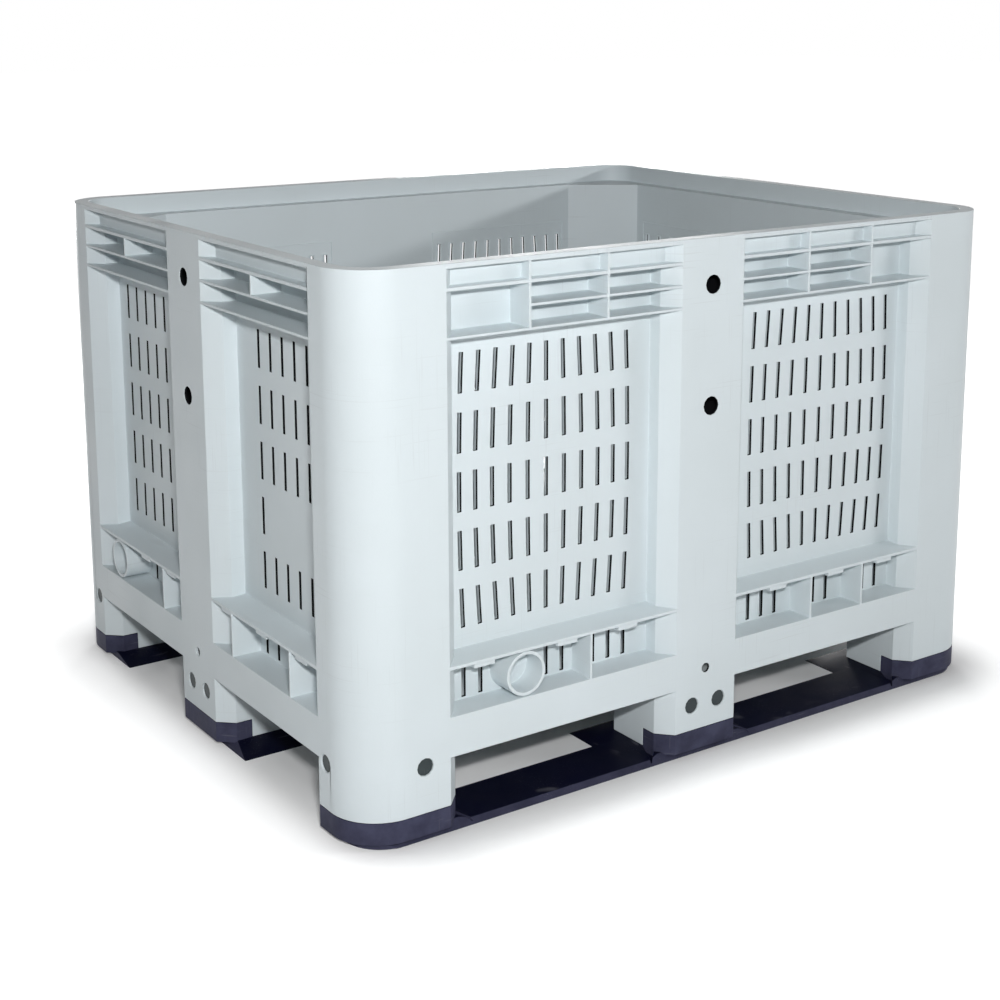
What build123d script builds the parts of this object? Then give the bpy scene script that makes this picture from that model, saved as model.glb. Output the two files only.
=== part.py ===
from build123d import *
import os
from dataclasses import dataclass
from math import atan, degrees, pi, sin

# Perforated pallet box on three skids. Millimetres, origin on the floor under the middle of the box,
# X along the long side, Z up. The front wall faces -Y and the left wall faces -X.

# Whole box
LENGTH = 1200.0           # outside length
WIDTH = 1000.0            # outside width
HEIGHT = 790.0            # floor to rim top

# Levels above the floor
SEAT_Z = 12.0             # skid top, where the legs stand
PAD_Z = 8.0               # underside of the shoe pads, top of the skid bars
SHOE_TOP = 40.0           # top edge of the shoes
BEAM_Z = 110.0            # underside of the skirt beams, roof of the fork entries
LEG_TOP = 125.0           # legs end and posts begin
FLOOR_Z = 168.0           # tub floor and pocket floor
SILL_Z = 244.0            # top of the sill ledge at the wall

# Moulded sections
WALL = 5.0                # wall, post and beam skins
RIB = 4.0                 # stiffening ribs
FLOOR_T = 6.0             # floor deck
RIM_T = 7.0               # rim flange
SILL_T = 5.0              # sill ledge
SILL_FALL = 4.0           # drop of the ledge towards its front edge

# Posts and recessed panels
LONG_CORNER = 145.0       # flat of a corner post on a long wall
SHORT_CORNER = 108.0      # flat of a corner post on a short wall
CORNER_R = 75.0           # outside corner radius
CORNER_CUT = 60.0         # cut corner of the hollows inside it
POST_HALF = 58.0          # half width of a centre post
REVEAL_W = 22.0           # slanted reveal beside a post, along the wall
REVEAL_D = 24.0           # slanted reveal, depth
PANEL_D = 46.0            # depth of the perforated wall behind the post faces
POST_HOLE_R = 14.2        # round holes in the centre posts
POST_HOLES_DOWN = (69.0, 249.0)    # their axes under the rim top
VENT_R = 7.5              # small hole low in a centre post
VENT_Z = 135.0
FLAT_COUNT = 12           # sides of a small round hole or plug

# Upper ribs
BAND_H = 32.0             # rim top down to the inner step of the top band
RIB_PITCH = 32.5          # spacing of the three horizontal ribs

# Slots
SLOT_W = 6.5              # slot width
SLOT_H = 56.0             # slot height
ROW_PITCH = 83.0          # spacing of the slot rows
ROW_MARGIN = 20.0         # least plain wall above and below the rows
COLUMN_MARGIN = 36.0      # least plain wall beside the columns
LONG_PITCH = 28.0         # column spacing, long walls
SHORT_PITCH = 37.0        # column spacing, short walls
LONG_SHIFT = 7.5          # columns sit off centre towards the corner post
SHORT_SHIFT = 17.0
LONG_BOW = 7.0            # columns of the long walls bow outwards from the panel middle at mid height
BOW_WAVE = 1.3            # half panels between the middle column and where the bow dies out
POCKET_SLOT_Z = 3.0       # pocket slots start this far above the pocket floor
POCKET_SLOT_H = 54.0

# Pockets under the sill
LONG_RIB_IN = 158.0       # centre post edge to the inner pocket rib, long walls
LONG_RIB_OUT = 127.0      # corner post edge to the outer pocket rib or spigot, long walls
SHORT_RIB_IN = 68.0       # the same on the short walls
SHORT_RIB_OUT = 81.0
RIB_CLEAR = 9.0           # slot centre to rib centre, at least
TAB_W = 34.0              # stepped tabs under the ledge
TAB_H = 7.0
TAB_D = 26.0
TAB_SET = 3.0             # tabs start this far behind the ledge edge
SPIGOT_R = 32.5           # drain spigot, outside radius
SPIGOT_WALL = 5.0
SPIGOT_SET = 2.0          # spigot mouth behind the post faces
SPIGOT_UP = 33.5          # spigot axis above the pocket floor

# Floor
FLOOR_CELL = 180.0        # spacing of the ribs under the floor
FLOOR_RIB = 5.0
FLOOR_SLOT_W = 7.0
FLOOR_SLOT_L = 120.0
FLOOR_SLOT_PITCH = 118.0

# Legs
LEG_WALL = 10.0
LONG_LEG_D = 122.0        # depth of a mid leg on a long wall
SHORT_LEG_D = 150.0       # depth of a mid leg on a short wall

# Skids
BAR_W = 105.0             # outer skid bars
MID_BAR_W = 160.0         # middle skid bar
BAR_SET = 3.0             # bar edge behind the leg faces along the box
BAR_END = 13.0            # bar end behind the leg faces
BEVEL = 1.0               # bevel of the bar edges, run over rise
RAMP = 50.0               # foot plates slope to the floor over this distance
RAMP_SET = 45.0           # inner ramps of the end feet start this far behind the leg faces
NOTCH = 20.0              # cut in a foot plate beside the end of a shoe wall
SHOE_T = 4.5              # wall of a shoe
SHOE_WRAP = 50.0          # how far a shoe reaches round its leg
FIT = 0.4                 # play between shoe and leg

# Locking plugs
PLUG_R = 12.5
PLUG_SET = 2.0            # plug face behind the leg face
PLUG_PAIR = 26.0          # mid leg plugs, either side of the middle
PLUG_Z = 80.0             # mid leg plugs
CORNER_PLUG_Z = 107.0     # corner leg plugs
LONG_PLUG_IN = 40.0       # corner leg plug from the post edge, long walls
SHORT_PLUG_IN = 20.0      # the same on the short walls
PIN_HALF = 7.0            # square plug shank through the skid tongue
TONGUE_T = 8.0
TONGUE_MARGIN = 12.0      # tongue above the plug axis
TONGUE_HALF = 15.0        # half width of a corner tongue

# Derived levels and offsets
STEP_Z = HEIGHT - BAND_H              # inner step, top face
STEP_UNDER = STEP_Z - WALL
RIM_UNDER = HEIGHT - RIM_T
RIB_2_Z = STEP_Z - WALL / 2 - RIB_PITCH
RIB_3_Z = RIB_2_Z - RIB_PITCH
INNER_D = PANEL_D + WALL              # inside face of the walls
BAND_D = REVEAL_D - WALL              # outside face of the top band
FLOOR_UNDER = FLOOR_Z - FLOOR_T
LEG_HALF = POST_HALF + REVEAL_W
REACH = LENGTH + WIDTH                # longer than anything on the box
OVER = 1.0                            # cutters run past the faces they cut


@dataclass(frozen=True)
class Side:
    """Sizes in which long and short walls differ."""

    span: float               # outside length of the wall
    offset: float             # outside face from the middle of the box
    corner: float             # flat of its corner posts
    pitch: float              # slot columns
    shift: float
    rib_in: float             # inner pocket rib, from the centre post edge
    rib_out: float            # outer pocket rib, from the corner post edge
    leg_d: float              # depth of its mid leg
    bow: float                # sideways bow of the slot columns
    label: bool               # upper grid in thirds with a plain label cell
    plain_row: int = None     # slot row from below with a plain patch on the right-hand panel

    @property
    def edge(self):
        """Corner post edge on the outside face, from the middle of the wall."""
        return self.span / 2 - self.corner

    @property
    def panel_end(self):
        """End of the flat perforated wall, from the middle of the wall."""
        return self.edge - REVEAL_W

    @property
    def columns(self):
        """Slot columns of one panel, from the middle of the wall."""
        room = self.panel_end - LEG_HALF
        count = int((room - 2 * COLUMN_MARGIN) / self.pitch) + 1
        first = LEG_HALF + (room - (count - 1) * self.pitch) / 2 + self.shift
        return [first + i * self.pitch for i in range(count)]


LONG = Side(LENGTH, WIDTH / 2, LONG_CORNER, LONG_PITCH, LONG_SHIFT, LONG_RIB_IN, LONG_RIB_OUT,
            LONG_LEG_D, LONG_BOW, True)
SHORT = Side(WIDTH, LENGTH / 2, SHORT_CORNER, SHORT_PITCH, SHORT_SHIFT, SHORT_RIB_IN, SHORT_RIB_OUT,
             SHORT_LEG_D, 0.0, False, 1)
SIDES = {"front": (LONG, 0), "right": (SHORT, 90), "back": (LONG, 180), "left": (SHORT, -90)}


def block(x0, x1, y0, y1, z0, z1):
    """Box between two corners."""
    return Pos((x0 + x1) / 2, (y0 + y1) / 2, (z0 + z1) / 2) * Box(x1 - x0, y1 - y0, z1 - z0)


def prism(plan, z0, z1):
    """Plan outline raised from one level to another."""
    return Pos(0, 0, z0) * extrude(plan, amount=z1 - z0, dir=(0, 0, 1))


def inset(plan, amount):
    """Plan outline moved inwards."""
    return offset(plan, amount=-amount, kind=Kind.INTERSECTION)


def eased(plan, corner, size, ease=fillet):
    """Plan outline with one corner rounded or cut."""
    point = Vector(*corner)
    nearest = min(plan.vertices(), key=lambda v: (Vector(v.X, v.Y) - point).length)
    return ease(nearest, size)


def frustum(low, high, z0, z1):
    """Solid between two level rectangles, each given as x0, x1, y0, y1."""
    def section(a, b):
        return Polygon((low[a], z0), (low[b], z0), (high[b], z1), (high[a], z1))
    along_y = extrude(Plane.XZ * section(0, 1), amount=REACH, dir=(0, 1, 0))
    along_x = extrude(Plane.YZ * section(2, 3), amount=REACH, dir=(1, 0, 0))
    return (Pos(0, -REACH / 2, 0) * along_y) & (Pos(-REACH / 2, 0, 0) * along_x)


def across(x, z, radius, d0, d1):
    """Round bar along the depth of a wall."""
    return Pos(x, (d0 + d1) / 2, z) * Rot(90, 0, 0) * Cylinder(radius, d1 - d0)


def peg(x, z, radius, d0, d1):
    """Small many-sided bar along the depth of a wall."""
    outline = Pos(x, d0, z) * Rot(90, 0, 0) * RegularPolygon(radius, FLAT_COUNT)
    return extrude(outline, amount=d1 - d0, dir=(0, 1, 0))


def place(shape, name):
    """Move a piece from its wall's own frame (x along, y inwards) to the box."""
    side, turn = SIDES[name]
    return Rot(0, 0, turn) * Pos(0, -side.offset, 0) * shape


def to_corner(shape):
    """Move a piece from the corner frame to the front left corner."""
    return Pos(-LENGTH / 2, -WIDTH / 2, 0) * shape


def flip(shape):
    """Other end of the same wall."""
    return mirror(shape, about=Plane.YZ)


def half_turn(shape):
    """Same piece at the opposite side of the box."""
    return Rot(0, 0, 180) * shape


# Recessed panels, drawn for the left-hand panel of a wall


def panel_plan(side):
    """Plan of a recess: open face, two slanted reveals, square step to the perforated wall."""
    x0, x1 = -side.edge, -POST_HALF
    return Polygon((x0, 0), (x1, 0), (x1 - REVEAL_W, REVEAL_D), (x1 - REVEAL_W, PANEL_D),
                   (x0 + REVEAL_W, PANEL_D), (x0 + REVEAL_W, REVEAL_D))


def in_panel(side, x0, x1, d0, d1, z0, z1):
    """Block cut to the shape of the recess."""
    return prism(panel_plan(side), z0, z1) & block(x0, x1, d0, d1, z0 - OVER, z1 + OVER)


def shelf(side, d0, d1, z0, z1):
    """Plate across the whole recess."""
    return in_panel(side, -REACH, 0, d0, d1, z0, z1)


def upright(side, x, d1, z0, z1):
    """Upright rib in the recess."""
    return in_panel(side, x - RIB / 2, x + RIB / 2, 0, d1, z0, z1)


def rib_grid(side):
    """Three horizontal ribs under the rim, with the uprights between them."""
    third = (side.edge - POST_HALF) / 3
    thirds = (-side.edge + third, -POST_HALF - third)
    second_from = thirds[0] if side.label else -REACH
    grid = shelf(side, 0, BAND_D, STEP_UNDER, STEP_Z)
    grid += shelf(side, 0, PANEL_D, RIB_3_Z - RIB / 2, RIB_3_Z + RIB / 2)
    grid += in_panel(side, second_from, 0, 0, PANEL_D, RIB_2_Z - RIB / 2, RIB_2_Z + RIB / 2)
    if side.label:
        for x in thirds:
            grid += upright(side, x, BAND_D, STEP_Z, RIM_UNDER)
            grid += upright(side, x, PANEL_D, RIB_3_Z, STEP_UNDER)
    else:
        grid += upright(side, -(side.edge + POST_HALF) / 2, PANEL_D, RIB_2_Z, STEP_UNDER)
    # the step plate of the top band lies behind the first rib
    return grid - block(-REACH, REACH, BAND_D, REACH, STEP_UNDER, HEIGHT)


def pocket_ribs(side):
    """Inner rib and outer rib or spigot, for the left-hand panel."""
    return -POST_HALF - side.rib_in, -side.edge + side.rib_out


def sill(side, spigot):
    """Sloped ledge with its tabs and the pocket ribs under it."""
    inner, outer = pocket_ribs(side)
    profile = Polygon((0, SILL_Z - SILL_FALL - SILL_T), (PANEL_D, SILL_Z - SILL_T), (PANEL_D, SILL_Z),
                      (0, SILL_Z - SILL_FALL))
    run = Pos(-REACH, 0, 0) * extrude(Plane.YZ * profile, amount=REACH, dir=(1, 0, 0))
    ledge = run & prism(panel_plan(side), FLOOR_Z, HEIGHT)
    under = SILL_Z - SILL_T - SILL_FALL
    room = SPIGOT_R if spigot else 0
    for a, b in ((-side.panel_end, outer - room), (outer + room, inner), (inner, -LEG_HALF)):
        if b - a > TAB_W + 2 * RIB:
            x = (a + b) / 2
            ledge += block(x - TAB_W / 2, x + TAB_W / 2, TAB_SET, TAB_SET + TAB_D, under - TAB_H,
                           SILL_Z - SILL_T)
    for x in [inner] if spigot else [inner, outer]:
        ledge += upright(side, x, PANEL_D, FLOOR_Z, SILL_Z - SILL_T)
    # nothing stands above the ledge
    return ledge - Pos(0, 0, SILL_T) * run


def beam(side):
    """Skirt beam over a fork entry: face, pocket floor and gussets."""
    piece = shelf(side, 0, WALL, BEAM_Z, FLOOR_Z)
    piece += shelf(side, 0, PANEL_D, FLOOR_Z - WALL, FLOOR_Z)
    for x in pocket_ribs(side):
        piece += upright(side, x, PANEL_D, BEAM_Z, FLOOR_Z)
    return piece


# Walls, posts and rim


def wall_skin(side):
    """Perforated wall between two corner posts."""
    plate = block(-side.panel_end, side.panel_end, PANEL_D, INNER_D, LEG_TOP, STEP_UNDER)
    low, high = SILL_Z, RIB_3_Z - RIB / 2
    count = int((high - low - 2 * ROW_MARGIN - SLOT_H) / ROW_PITCH) + 1
    first = (low + high - (count - 1) * ROW_PITCH) / 2
    inner, outer = pocket_ribs(side)

    middle, reach = (low + high) / 2, ((count - 1) * ROW_PITCH + SLOT_H) / 2
    centre = (side.columns[0] + side.columns[-1]) / 2
    half_panel = side.columns[-1] - centre

    def slot(x, z, height, lean=0):
        """Cutter through the wall, leaning to the right by an angle."""
        return Pos(x, PANEL_D + WALL / 2, z) * Rot(0, lean, 0) * Box(SLOT_W, WALL + 2 * OVER, height)

    def bowed(x, z):
        """Slot of a bowed column."""
        bow = side.bow * sin(pi * (x - (centre if x > 0 else -centre)) / half_panel / BOW_WAVE)
        up = (z - middle) / reach
        return slot(x + bow * (1 - up ** 2), z, SLOT_H, -degrees(atan(2 * bow * up / reach)))

    cuts = []
    for x in side.columns:
        for half in (-x, x):
            for row in range(count):
                # only the first slot stands beside the plain patch
                if row != side.plain_row or half <= side.columns[0]:
                    cuts.append(bowed(half, first + row * ROW_PITCH))
            room = SPIGOT_R + SLOT_W if half < 0 else RIB_CLEAR
            if abs(x + outer) > room and abs(x + inner) > RIB_CLEAR:
                cuts.append(slot(half, FLOOR_Z + POCKET_SLOT_Z + POCKET_SLOT_H / 2, POCKET_SLOT_H))
    return plate - cuts


def rim_band(side):
    """Rim flange, top band set outwards and the step down to the perforated wall."""
    def between(d0):
        """Plan from one depth to the back of the slanted reveals."""
        e = side.edge - REVEAL_W * d0 / REVEAL_D
        return Polygon((-e, d0), (e, d0), (side.panel_end, REVEAL_D), (-side.panel_end, REVEAL_D))
    band = prism(between(0), RIM_UNDER, HEIGHT) + prism(between(BAND_D), STEP_UNDER, RIM_UNDER)
    return band + block(-side.panel_end, side.panel_end, REVEAL_D, INNER_D, STEP_UNDER, STEP_Z)


def centre_post():
    """Hollow post in the middle of a wall, with its round holes."""
    def plan(depth):
        return Polygon((-POST_HALF, 0), (POST_HALF, 0), (LEG_HALF, REVEAL_D), (LEG_HALF, depth),
                       (-LEG_HALF, depth), (-LEG_HALF, REVEAL_D))
    post = prism(plan(PANEL_D), LEG_TOP, RIM_UNDER)
    post -= prism(inset(plan(PANEL_D + WALL), WALL), LEG_TOP, RIM_UNDER)
    # the top band passes behind the head of the post
    post -= block(-REACH, REACH, BAND_D, REACH, STEP_UNDER, HEIGHT)
    for down in POST_HOLES_DOWN:
        post -= peg(0, HEIGHT - down, POST_HOLE_R, -OVER, WALL + OVER)
    return post - peg(0, VENT_Z, VENT_R, -OVER, WALL + OVER)


CORNER_X = LONG_CORNER + REVEAL_W
CORNER_Y = SHORT_CORNER + REVEAL_W


def corner_face(*inside, hollow=False):
    """Plan of a corner post face: eased corner, two flats and two reveals, closed by inside points."""
    plan = Polygon((0, 0), (LONG_CORNER, 0), (CORNER_X, REVEAL_D), *inside, (REVEAL_D, CORNER_Y),
                   (0, SHORT_CORNER))
    return eased(plan, (0, 0), CORNER_CUT, chamfer) if hollow else eased(plan, (0, 0), CORNER_R)


# Floor


def floor_plan():
    """Inside of the tub, with its four cut corners."""
    x, y = LENGTH / 2 - INNER_D, WIDTH / 2 - INNER_D
    cx, cy = LENGTH / 2 - CORNER_X, WIDTH / 2 - CORNER_Y
    return Polygon((-cx, -y), (cx, -y), (x, -cy), (x, cy), (cx, y), (-cx, y), (-x, cy), (-x, -cy))


def spread(room, pitch):
    """Even positions either side of the middle, at most one pitch from each end."""
    count = max(2, int(room / pitch))
    return [(i - (count - 1) / 2) * pitch for i in range(count)]


def floor_deck():
    """Slotted tub floor."""
    room_x, room_y = LONG.panel_end * 2, SHORT.panel_end * 2
    cuts = []
    for x in spread(room_x, FLOOR_CELL):
        for y in spread(room_y, FLOOR_SLOT_PITCH):
            cuts.append(block(x - FLOOR_SLOT_L / 2, x + FLOOR_SLOT_L / 2, y - FLOOR_SLOT_W / 2,
                              y + FLOOR_SLOT_W / 2, FLOOR_UNDER - OVER, FLOOR_Z + OVER))
    return prism(floor_plan(), FLOOR_UNDER, FLOOR_Z) - cuts


def floor_rib_grid():
    """Crossed ribs under the floor, clear of its slots."""
    bars = []
    for x in spread(LONG.panel_end * 2 + FLOOR_CELL, FLOOR_CELL):
        bars.append(block(x - FLOOR_RIB / 2, x + FLOOR_RIB / 2, -WIDTH, WIDTH, LEG_TOP, FLOOR_UNDER))
    for y in spread(SHORT.panel_end * 2, 2 * FLOOR_SLOT_PITCH):
        bars.append(block(-LENGTH, LENGTH, y - FLOOR_RIB / 2, y + FLOOR_RIB / 2, LEG_TOP, FLOOR_UNDER))
    return (bars[0] + bars[1:]) & prism(floor_plan(), LEG_TOP, FLOOR_UNDER)


# Legs, shoes and skids


def mid_plan(depth):
    """Plan of a mid leg in its wall's frame."""
    return Polygon((-POST_HALF, 0), (POST_HALF, 0), (LEG_HALF, REVEAL_D), (LEG_HALF, depth),
                   (-LEG_HALF, depth), (-LEG_HALF, REVEAL_D))


def corner_plan(hollow=False):
    """Plan of a corner leg in the corner frame."""
    return corner_face((CORNER_X, CORNER_Y), hollow=hollow)


def centre_plan():
    """Plan of the leg under the middle of the floor."""
    square = Rectangle(2 * LEG_HALF, 2 * LEG_HALF)
    return chamfer(square.vertices(), REVEAL_W)


def mid_wrap(reach):
    """Part of a mid leg plan that its shoe wraps."""
    return Pos(0, reach / 2) * Rectangle(REACH, reach)


def corner_wrap(reach):
    """Part of a corner leg plan that its shoe wraps."""
    return Polygon((0, 0), (REACH, 0), (REACH, reach), (reach, reach), (reach, REACH), (0, REACH))


def centre_wrap(reach):
    """The middle shoe goes all the way round."""
    return Rectangle(REACH, REACH)


def shoe(plan, wrap):
    """Pad under a leg with a low wall round it."""
    ring = (plan - inset(plan, SHOE_T)) & wrap(SHOE_WRAP)
    return prism(plan, PAD_Z, SEAT_Z) + prism(ring, SEAT_Z, SHOE_TOP)


def leg(plan, wrap, core=None):
    """Hollow leg, rebated for its shoe."""
    body = prism(plan, SEAT_Z, LEG_TOP) - prism(inset(core or plan, LEG_WALL), SEAT_Z, LEG_TOP - WALL)
    rebate = (plan - inset(plan, SHOE_T + FIT)) & wrap(SHOE_WRAP + FIT)
    return body - prism(rebate, SEAT_Z, SHOE_TOP + FIT)


def foot(x0, x1, y0, y1):
    """Plate under a leg, bevelled in front and sloping to the floor beside and behind it."""
    return frustum((x0 - RAMP, x1 + RAMP, y0, y1 + RAMP), (x0, x1, y0 + SEAT_Z, y1), 0, SEAT_Z)


def notch(x, towards):
    """Three-sided cut in a foot plate beside the leg face at x, from the shoe wall to the plate's front."""
    plan = Polygon((x, REVEAL_D), (x, SHOE_WRAP), (x + towards * NOTCH, BAR_SET))
    return prism(plan, PAD_Z / 2, SHOE_TOP)


def plug_hole(x, z):
    """Hole for a locking plug in a leg wall."""
    return peg(x, z, PLUG_R + FIT, -OVER, LEG_WALL + OVER)


def shank(x, z, half, d0, d1):
    """Square bar along the depth of a wall."""
    return block(x - half, x + half, d0, d1, z - half, z + half)


def plug(x, z):
    """Locking plug: round head in the leg wall, square shank through the skid tongue."""
    head = peg(x, z, PLUG_R, PLUG_SET, LEG_WALL)
    return head + shank(x, z, PIN_HALF, LEG_WALL, LEG_WALL + FIT + TONGUE_T + PLUG_SET)


def tongue(x, half, z, holes):
    """Upright of a skid behind the leg wall, pierced for the plugs."""
    d0, d1 = LEG_WALL + FIT, LEG_WALL + FIT + TONGUE_T
    plate = block(x - half, x + half, d0, d1, SEAT_Z, z + TONGUE_MARGIN)
    for hole in holes:
        plate -= shank(hole, z, PIN_HALF + FIT, d0 - OVER, d1 + OVER)
    return plate


MID_PLUGS = (-PLUG_PAIR, PLUG_PAIR)
MID_TONGUE = PLUG_PAIR + PIN_HALF + TONGUE_MARGIN
FRONT_PLUG_X = -LONG.edge - LONG_PLUG_IN          # corner plug in the front wall's frame
LEFT_PLUG_X = SHORT.edge + SHORT_PLUG_IN          # corner plug in the left wall's frame


def mid_leg(side):
    """Leg under a centre post, bored for two plugs."""
    piece = leg(mid_plan(side.leg_d), mid_wrap)
    for x in MID_PLUGS:
        piece -= plug_hole(x, PLUG_Z)
    return piece


def mid_shoe(side, front):
    """Foot plate, shoe and tongue for a mid leg; the plate starts this far behind the leg face."""
    piece = foot(-LEG_HALF, LEG_HALF, front, side.leg_d) + shoe(mid_plan(side.leg_d), mid_wrap)
    return piece + tongue(0, MID_TONGUE, PLUG_Z, MID_PLUGS)


def corner_post(both):
    """Front left post on its leg: flat inside face, shelf under the rim corner, plug holes."""
    inside = (CORNER_X, INNER_D), (INNER_D, CORNER_Y)
    post = prism(corner_face(*inside), LEG_TOP, STEP_Z) + leg(corner_plan(), corner_wrap, corner_plan(True))
    post -= prism(inset(corner_face(*inside, hollow=True), WALL), LEG_TOP - WALL, STEP_UNDER)
    rim = eased(corner_face((REVEAL_D, REVEAL_D)), (REVEAL_D, REVEAL_D), CORNER_R - REVEAL_D)
    post = to_corner(post + prism(rim, STEP_Z, HEIGHT))
    post -= place(plug_hole(LEFT_PLUG_X, CORNER_PLUG_Z), "left")
    if both:
        post -= place(plug_hole(FRONT_PLUG_X, CORNER_PLUG_Z), "front")
    return post


def corner_shoe(both):
    """Shoe and tongues for the front left leg."""
    piece = to_corner(shoe(corner_plan(), corner_wrap))
    piece += place(tongue(LEFT_PLUG_X, TONGUE_HALF, CORNER_PLUG_Z, [LEFT_PLUG_X]), "left")
    if both:
        piece += place(tongue(FRONT_PLUG_X, TONGUE_HALF, CORNER_PLUG_Z, [FRONT_PLUG_X]), "front")
    return piece


def corner_foot():
    """Plate under the front left leg, bevelled outside and sloping to the floor inside."""
    return to_corner(frustum((BAR_END, CORNER_X + RAMP, BAR_SET, CORNER_Y + RAMP),
                             (BAR_END, CORNER_X, BAR_SET + SEAT_Z, CORNER_Y), 0, SEAT_Z))


def bar(y0, y1):
    """Flat skid bar with bevelled edges."""
    end, rise = LENGTH / 2 - BAR_END, BEVEL * PAD_Z
    return frustum((-end, end, y0, y1), (-end + rise, end - rise, y0 + rise, y1 - rise), 0, PAD_Z)


def outer_skid():
    """Front skid: bar and foot plates cut to a round-cornered outline, two corner shoes and a mid shoe."""
    inner_end = to_corner(block(0, RAMP_SET, CORNER_Y, REACH, 0, SEAT_Z))
    skid = bar(-WIDTH / 2 + BAR_SET, -WIDTH / 2 + BAR_W) + (corner_foot() - inner_end) + flip(corner_foot())
    outline = RectangleRounded(LENGTH - 2 * BAR_END, WIDTH - 2 * BAR_SET, CORNER_R - BAR_END)
    skid = (skid & prism(outline, 0, SEAT_Z)) + place(mid_shoe(LONG, BAR_SET), "front")
    for x in (-LONG.panel_end, -LEG_HALF, LEG_HALF, LONG.panel_end):
        towards = 1 if x in (-LONG.panel_end, LEG_HALF) else -1
        skid -= place(notch(x, towards), "front")
    return skid + corner_shoe(True) + flip(corner_shoe(False))


def middle_skid():
    """Middle skid: bar with two mid shoes and the shoe of the centre leg."""
    skid = bar(-MID_BAR_W / 2, MID_BAR_W / 2) + shoe(centre_plan(), centre_wrap)
    h, out = LEG_HALF, LEG_HALF + RAMP
    skid += frustum((-out, out, -out, out), (-h, h, -h, h), 0, SEAT_Z)
    end_shoe = mid_shoe(SHORT, BAR_END) - block(-REACH, -LEG_HALF, 0, RAMP_SET, 0, SEAT_Z)
    return skid + place(end_shoe, "left") + place(end_shoe, "right")


def plugs():
    """All locking plugs, one solid each."""
    group = [place(plug(x, PLUG_Z), name) for name in SIDES for x in MID_PLUGS]
    left = place(plug(LEFT_PLUG_X, CORNER_PLUG_Z), "left")
    front = place(plug(FRONT_PLUG_X, CORNER_PLUG_Z), "front")
    for piece in (left, front, flip(left)):
        group += [piece, half_turn(piece)]
    return group


def spigot(side):
    """Blind drain spigot in the pocket of the left-hand panel."""
    x, z = pocket_ribs(side)[1], FLOOR_Z + SPIGOT_UP
    tube = across(x, z, SPIGOT_R, SPIGOT_SET, PANEL_D)
    return tube - across(x, z, SPIGOT_R - SPIGOT_WALL, SPIGOT_SET - OVER, PANEL_D - WALL)


def build():
    """Every node of the box, by name."""
    nodes = {"floor_deck": floor_deck(), "floor_rib_grid": floor_rib_grid()}
    for name, (side, turn) in SIDES.items():
        nodes[f"wall_skin_{name}"] = place(wall_skin(side), name)
        nodes[f"rim_band_{name}"] = place(rim_band(side), name)
        nodes[f"centre_post_{name}"] = place(centre_post(), name)
        nodes[f"rib_grid_{name}_a"] = place(rib_grid(side), name)
        nodes[f"rib_grid_{name}_b"] = place(flip(rib_grid(side)), name)
        nodes[f"sill_{name}_a"] = place(sill(side, True), name)
        nodes[f"sill_{name}_b"] = place(flip(sill(side, False)), name)
        nodes[f"skirt_beam_{name}_a"] = place(beam(side), name)
        nodes[f"skirt_beam_{name}_b"] = place(flip(beam(side)), name)
        nodes[f"mid_leg_{name}"] = place(mid_leg(side), name)
    corners = {"front_left": lambda s: s, "front_right": flip}
    corners.update(back_right=half_turn, back_left=lambda s: half_turn(flip(s)))
    for name, move in corners.items():
        nodes[f"corner_post_{name}"] = move(corner_post(name in ("front_left", "back_right")))
    nodes["drain_spigots"] = [place(spigot(side), name) for name, (side, turn) in SIDES.items()]
    nodes["centre_leg"] = leg(centre_plan(), centre_wrap)
    nodes["skid_front"] = outer_skid()
    nodes["skid_back"] = half_turn(outer_skid())
    nodes["skid_middle"] = middle_skid()
    nodes["skid_plugs"] = plugs()
    return nodes


os.makedirs("parts", exist_ok=True)
for node, shape in build().items():
    solids = [s for piece in shape for s in piece.solids()] if isinstance(shape, list) else shape.solids()
    export_step(solids[0] if len(solids) == 1 else Compound(children=solids), f"parts/{node}.step")
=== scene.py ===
import logging
import math
from dataclasses import dataclass
from enum import Enum

import bmesh
import bpy
import numpy as np
from mathutils import Matrix, Vector


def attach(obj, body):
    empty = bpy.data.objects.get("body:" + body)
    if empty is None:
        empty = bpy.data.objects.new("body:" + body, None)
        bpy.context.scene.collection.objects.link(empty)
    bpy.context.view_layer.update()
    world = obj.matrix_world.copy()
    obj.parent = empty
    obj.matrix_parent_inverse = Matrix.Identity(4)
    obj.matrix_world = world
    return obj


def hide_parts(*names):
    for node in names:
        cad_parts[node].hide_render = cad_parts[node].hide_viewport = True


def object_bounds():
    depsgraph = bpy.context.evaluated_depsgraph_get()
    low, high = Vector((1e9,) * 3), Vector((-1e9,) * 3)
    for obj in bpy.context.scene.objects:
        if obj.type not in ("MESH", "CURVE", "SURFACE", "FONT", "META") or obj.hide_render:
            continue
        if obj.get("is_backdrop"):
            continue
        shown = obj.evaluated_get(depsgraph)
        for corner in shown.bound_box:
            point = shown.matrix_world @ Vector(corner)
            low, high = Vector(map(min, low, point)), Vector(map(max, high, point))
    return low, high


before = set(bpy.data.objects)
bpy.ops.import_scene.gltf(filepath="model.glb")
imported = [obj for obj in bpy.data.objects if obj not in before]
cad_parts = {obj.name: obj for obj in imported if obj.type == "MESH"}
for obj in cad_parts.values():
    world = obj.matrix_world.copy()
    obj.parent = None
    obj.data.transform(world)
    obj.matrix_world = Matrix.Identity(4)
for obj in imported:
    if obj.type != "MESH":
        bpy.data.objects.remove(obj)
LOG = logging.getLogger("pallet_box")
MM = 0.001
BODY = "root"
SKID_NAMES = ("skid_front", "skid_middle", "skid_back")
PLUG_NAME = "skid_plugs"
Colour = tuple[float, float, float, float]
Point = tuple[float, float, float]
Range = tuple[float, float]
Tree = bpy.types.NodeTree
Socket = bpy.types.NodeSocket
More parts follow.
